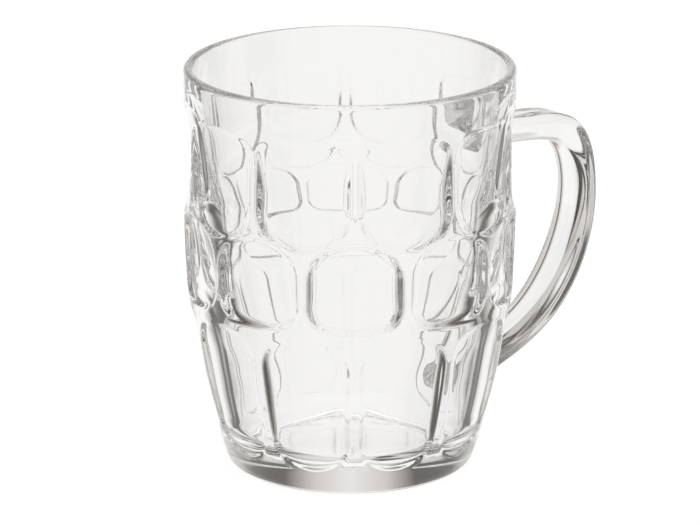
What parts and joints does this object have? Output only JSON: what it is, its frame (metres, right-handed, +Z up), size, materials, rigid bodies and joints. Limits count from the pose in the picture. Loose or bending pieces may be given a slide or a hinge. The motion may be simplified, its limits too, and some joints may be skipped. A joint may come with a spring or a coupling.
{
  "type": "glass beer mug",
  "caption": "Tapering pressed-glass beer mug with staggered rows of rounded square dimples, a thick base and a solid D-shaped side handle.",
  "frame": {"origin": "centre of the foot, on the plane the mug stands on", "axes": "+Z up along the bowl's axis, +X from the axis towards the handle"},
  "size_m": [0.1418, 0.0984, 0.1215],
  "materials": {
    "pressed_glass": "clear colourless pressed soda-lime glass, fire-polished",
    "handle_glass": "clear colourless pressed soda-lime glass, fire-polished"
  },
  "bodies": {
    "root": {"bowl": "pressed_glass", "handle": "handle_glass"}
  },
  "joints": []
}
